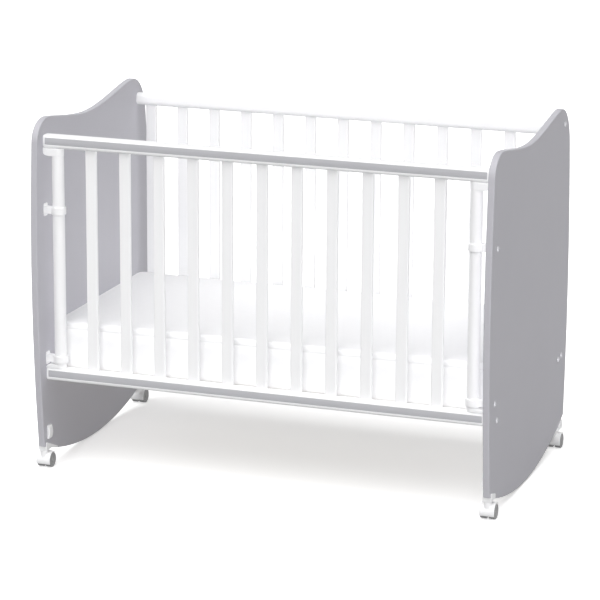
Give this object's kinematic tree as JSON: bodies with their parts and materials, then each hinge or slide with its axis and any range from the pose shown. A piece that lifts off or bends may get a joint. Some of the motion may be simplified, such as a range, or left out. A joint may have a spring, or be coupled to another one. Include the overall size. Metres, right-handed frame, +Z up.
{
  "type": "crib",
  "caption": "Crib with solid rocker ends, slatted sides, a front side that slides down, a foam mattress and twin-wheel casters.",
  "frame": {"origin": "on the floor, midway along the length and midway between the foremost and rearmost edges of the end panels", "axes": "+X to the right along the crib, seen from the front; +Y to the rear; +Z up. The sliding side is at the front (-Y)."},
  "size_m": [1.2648, 0.762, 0.9455],
  "materials": {
    "grey_lacquer": "satin grey lacquer over smooth board",
    "white_lacquer": "satin white lacquer over beech",
    "grey_inlay": "satin grey strip, faintly ribbed along its length",
    "white_plastic": "moulded white plastic, satin",
    "bare_beech": "bare sanded beech",
    "mattress_cover": "white woven cotton cover over foam",
    "wheel_plastic": "moulded grey plastic, matt"
  },
  "bodies": {
    "root": {"end_panel_left": "grey_lacquer", "end_panel_right": "grey_lacquer", "gate_guide_upper_left": "white_plastic", "gate_guide_lower_left": "white_plastic", "gate_stop_left": "white_plastic", "gate_guide_upper_right": "white_plastic", "gate_guide_lower_right": "white_plastic", "gate_stop_right": "white_plastic", "back_top_rail": "white_lacquer", "back_bottom_rail": "white_lacquer", "back_slat_01": "white_lacquer", "back_slat_02": "white_lacquer", "back_slat_03": "white_lacquer", "back_slat_04": "white_lacquer", "back_slat_05": "white_lacquer", "back_slat_06": "white_lacquer", "back_slat_07": "white_lacquer", "back_slat_08": "white_lacquer", "back_slat_09": "white_lacquer", "back_slat_10": "white_lacquer", "back_slat_11": "white_lacquer", "back_slat_12": "white_lacquer", "back_slat_13": "white_lacquer", "base_bearer_front": "bare_beech", "base_bearer_rear": "bare_beech", "base_slats": "bare_beech", "caster_shoe_front_left": "white_plastic", "caster_shoe_front_right": "white_plastic", "caster_shoe_rear_left": "white_plastic", "caster_shoe_rear_right": "white_plastic"},
    "gate": {"gate_top_rail": "white_lacquer", "gate_bottom_rail": "white_lacquer", "gate_top_stripe": "grey_inlay", "gate_bottom_stripe": "grey_inlay", "gate_top_hub_left": "white_plastic", "gate_bottom_hub_left": "white_plastic", "gate_post_left": "white_lacquer", "gate_top_hub_right": "white_plastic", "gate_bottom_hub_right": "white_plastic", "gate_post_right": "white_lacquer", "gate_slat_01": "white_lacquer", "gate_slat_02": "white_lacquer", "gate_slat_03": "white_lacquer", "gate_slat_04": "white_lacquer", "gate_slat_05": "white_lacquer", "gate_slat_06": "white_lacquer", "gate_slat_07": "white_lacquer", "gate_slat_08": "white_lacquer", "gate_slat_09": "white_lacquer", "gate_slat_10": "white_lacquer", "gate_slat_11": "white_lacquer"},
    "mattress": {"mattress": "mattress_cover"},
    "swivel_front_left": {"caster_hood_front_left": "white_plastic"},
    "wheels_front_left": {"caster_wheels_front_left": "wheel_plastic"},
    "swivel_front_right": {"caster_hood_front_right": "white_plastic"},
    "wheels_front_right": {"caster_wheels_front_right": "wheel_plastic"},
    "swivel_rear_left": {"caster_hood_rear_left": "white_plastic"},
    "wheels_rear_left": {"caster_wheels_rear_left": "wheel_plastic"},
    "swivel_rear_right": {"caster_hood_rear_right": "white_plastic"},
    "wheels_rear_right": {"caster_wheels_rear_right": "wheel_plastic"}
  },
  "joints": [
    {"name": "gate_slide", "type": "slide", "parent": "root", "child": "gate", "axis": [0, 0, 1], "range_m": [-0.128, 0.003]},
    {"name": "mattress_lift", "type": "slide", "parent": "root", "child": "mattress", "axis": [0, 0, 1], "range_m": [0, 0.68]},
    {"name": "swivel_front_left", "type": "hinge", "parent": "root", "child": "swivel_front_left", "pos_m": [-0.612, -0.336, 0.02], "axis": [0, 0, 1], "continuous": true},
    {"name": "roll_front_left", "type": "hinge", "parent": "swivel_front_left", "child": "wheels_front_left", "pos_m": [-0.612, -0.324, 0.02], "axis": [1, 0, 0], "continuous": true},
    {"name": "swivel_front_right", "type": "hinge", "parent": "root", "child": "swivel_front_right", "pos_m": [0.612, -0.336, 0.02], "axis": [0, 0, 1], "continuous": true},
    {"name": "roll_front_right", "type": "hinge", "parent": "swivel_front_right", "child": "wheels_front_right", "pos_m": [0.612, -0.324, 0.02], "axis": [1, 0, 0], "continuous": true},
    {"name": "swivel_rear_left", "type": "hinge", "parent": "root", "child": "swivel_rear_left", "pos_m": [-0.612, 0.308, 0.02], "axis": [0, 0, 1], "continuous": true},
    {"name": "roll_rear_left", "type": "hinge", "parent": "swivel_rear_left", "child": "wheels_rear_left", "pos_m": [-0.612, 0.32, 0.02], "axis": [1, 0, 0], "continuous": true},
    {"name": "swivel_rear_right", "type": "hinge", "parent": "root", "child": "swivel_rear_right", "pos_m": [0.612, 0.308, 0.02], "axis": [0, 0, 1], "continuous": true},
    {"name": "roll_rear_right", "type": "hinge", "parent": "swivel_rear_right", "child": "wheels_rear_right", "pos_m": [0.612, 0.32, 0.02], "axis": [1, 0, 0], "continuous": true}
  ]
}
